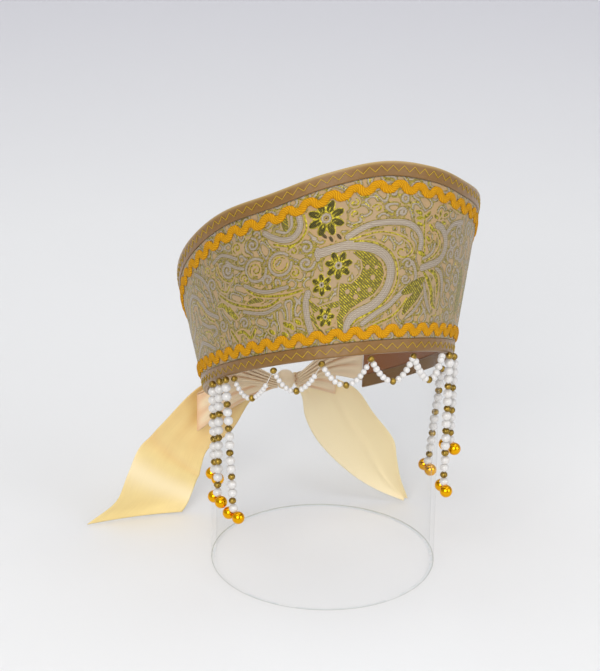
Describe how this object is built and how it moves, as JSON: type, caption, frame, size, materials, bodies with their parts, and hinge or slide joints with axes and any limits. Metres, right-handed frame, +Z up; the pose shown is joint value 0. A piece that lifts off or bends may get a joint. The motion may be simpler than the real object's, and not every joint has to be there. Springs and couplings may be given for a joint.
{
  "type": "kokoshnik headdress on clear tube stand",
  "caption": "Open-backed flared brocade band with braid, satin bindings, bead scallops, hanging bead strings and a ribbon bow, set tilted on a clear tube.",
  "frame": {"origin": "under the middle of the object's box, on the surface the tube and the ribbon ends rest on", "axes": "+Z up along the tube, the front of the headdress faces -Y, +X to the right seen from the front"},
  "size_m": [0.247, 0.1966, 0.2974],
  "materials": {
    "brocade": "woven brocade with raised silver and metallic yellow-green threads",
    "binding_satin": "golden brown satin bias tape",
    "lining_satin": "brown satin",
    "yellow_braid": "woven ric-rac braid",
    "ribbon_satin": "pale gold satin ribbon",
    "white_beads": "pearl white, with antique gold spacers and shiny gold end balls",
    "clear_acrylic": "clear polished acrylic"
  },
  "bodies": {
    "root": {"front_band": "brocade", "band_lining": "lining_satin", "top_binding": "binding_satin", "bottom_binding": "binding_satin", "upper_ric_rac": "yellow_braid", "lower_ric_rac": "yellow_braid", "stand_tube": "clear_acrylic", "scallop_fringe": "white_beads", "bead_string_left_long": "white_beads", "bead_string_left_middle": "white_beads", "bead_string_left_short": "white_beads", "bead_string_right_long": "white_beads", "bead_string_right_short": "white_beads", "bead_string_right_middle": "white_beads", "tie_strap_left": "ribbon_satin", "tie_strap_right": "ribbon_satin", "bow_loop_left": "ribbon_satin", "bow_loop_right": "ribbon_satin", "ribbon_tail_left": "ribbon_satin", "ribbon_tail_right": "ribbon_satin", "bow_knot": "ribbon_satin"}
  },
  "joints": []
}
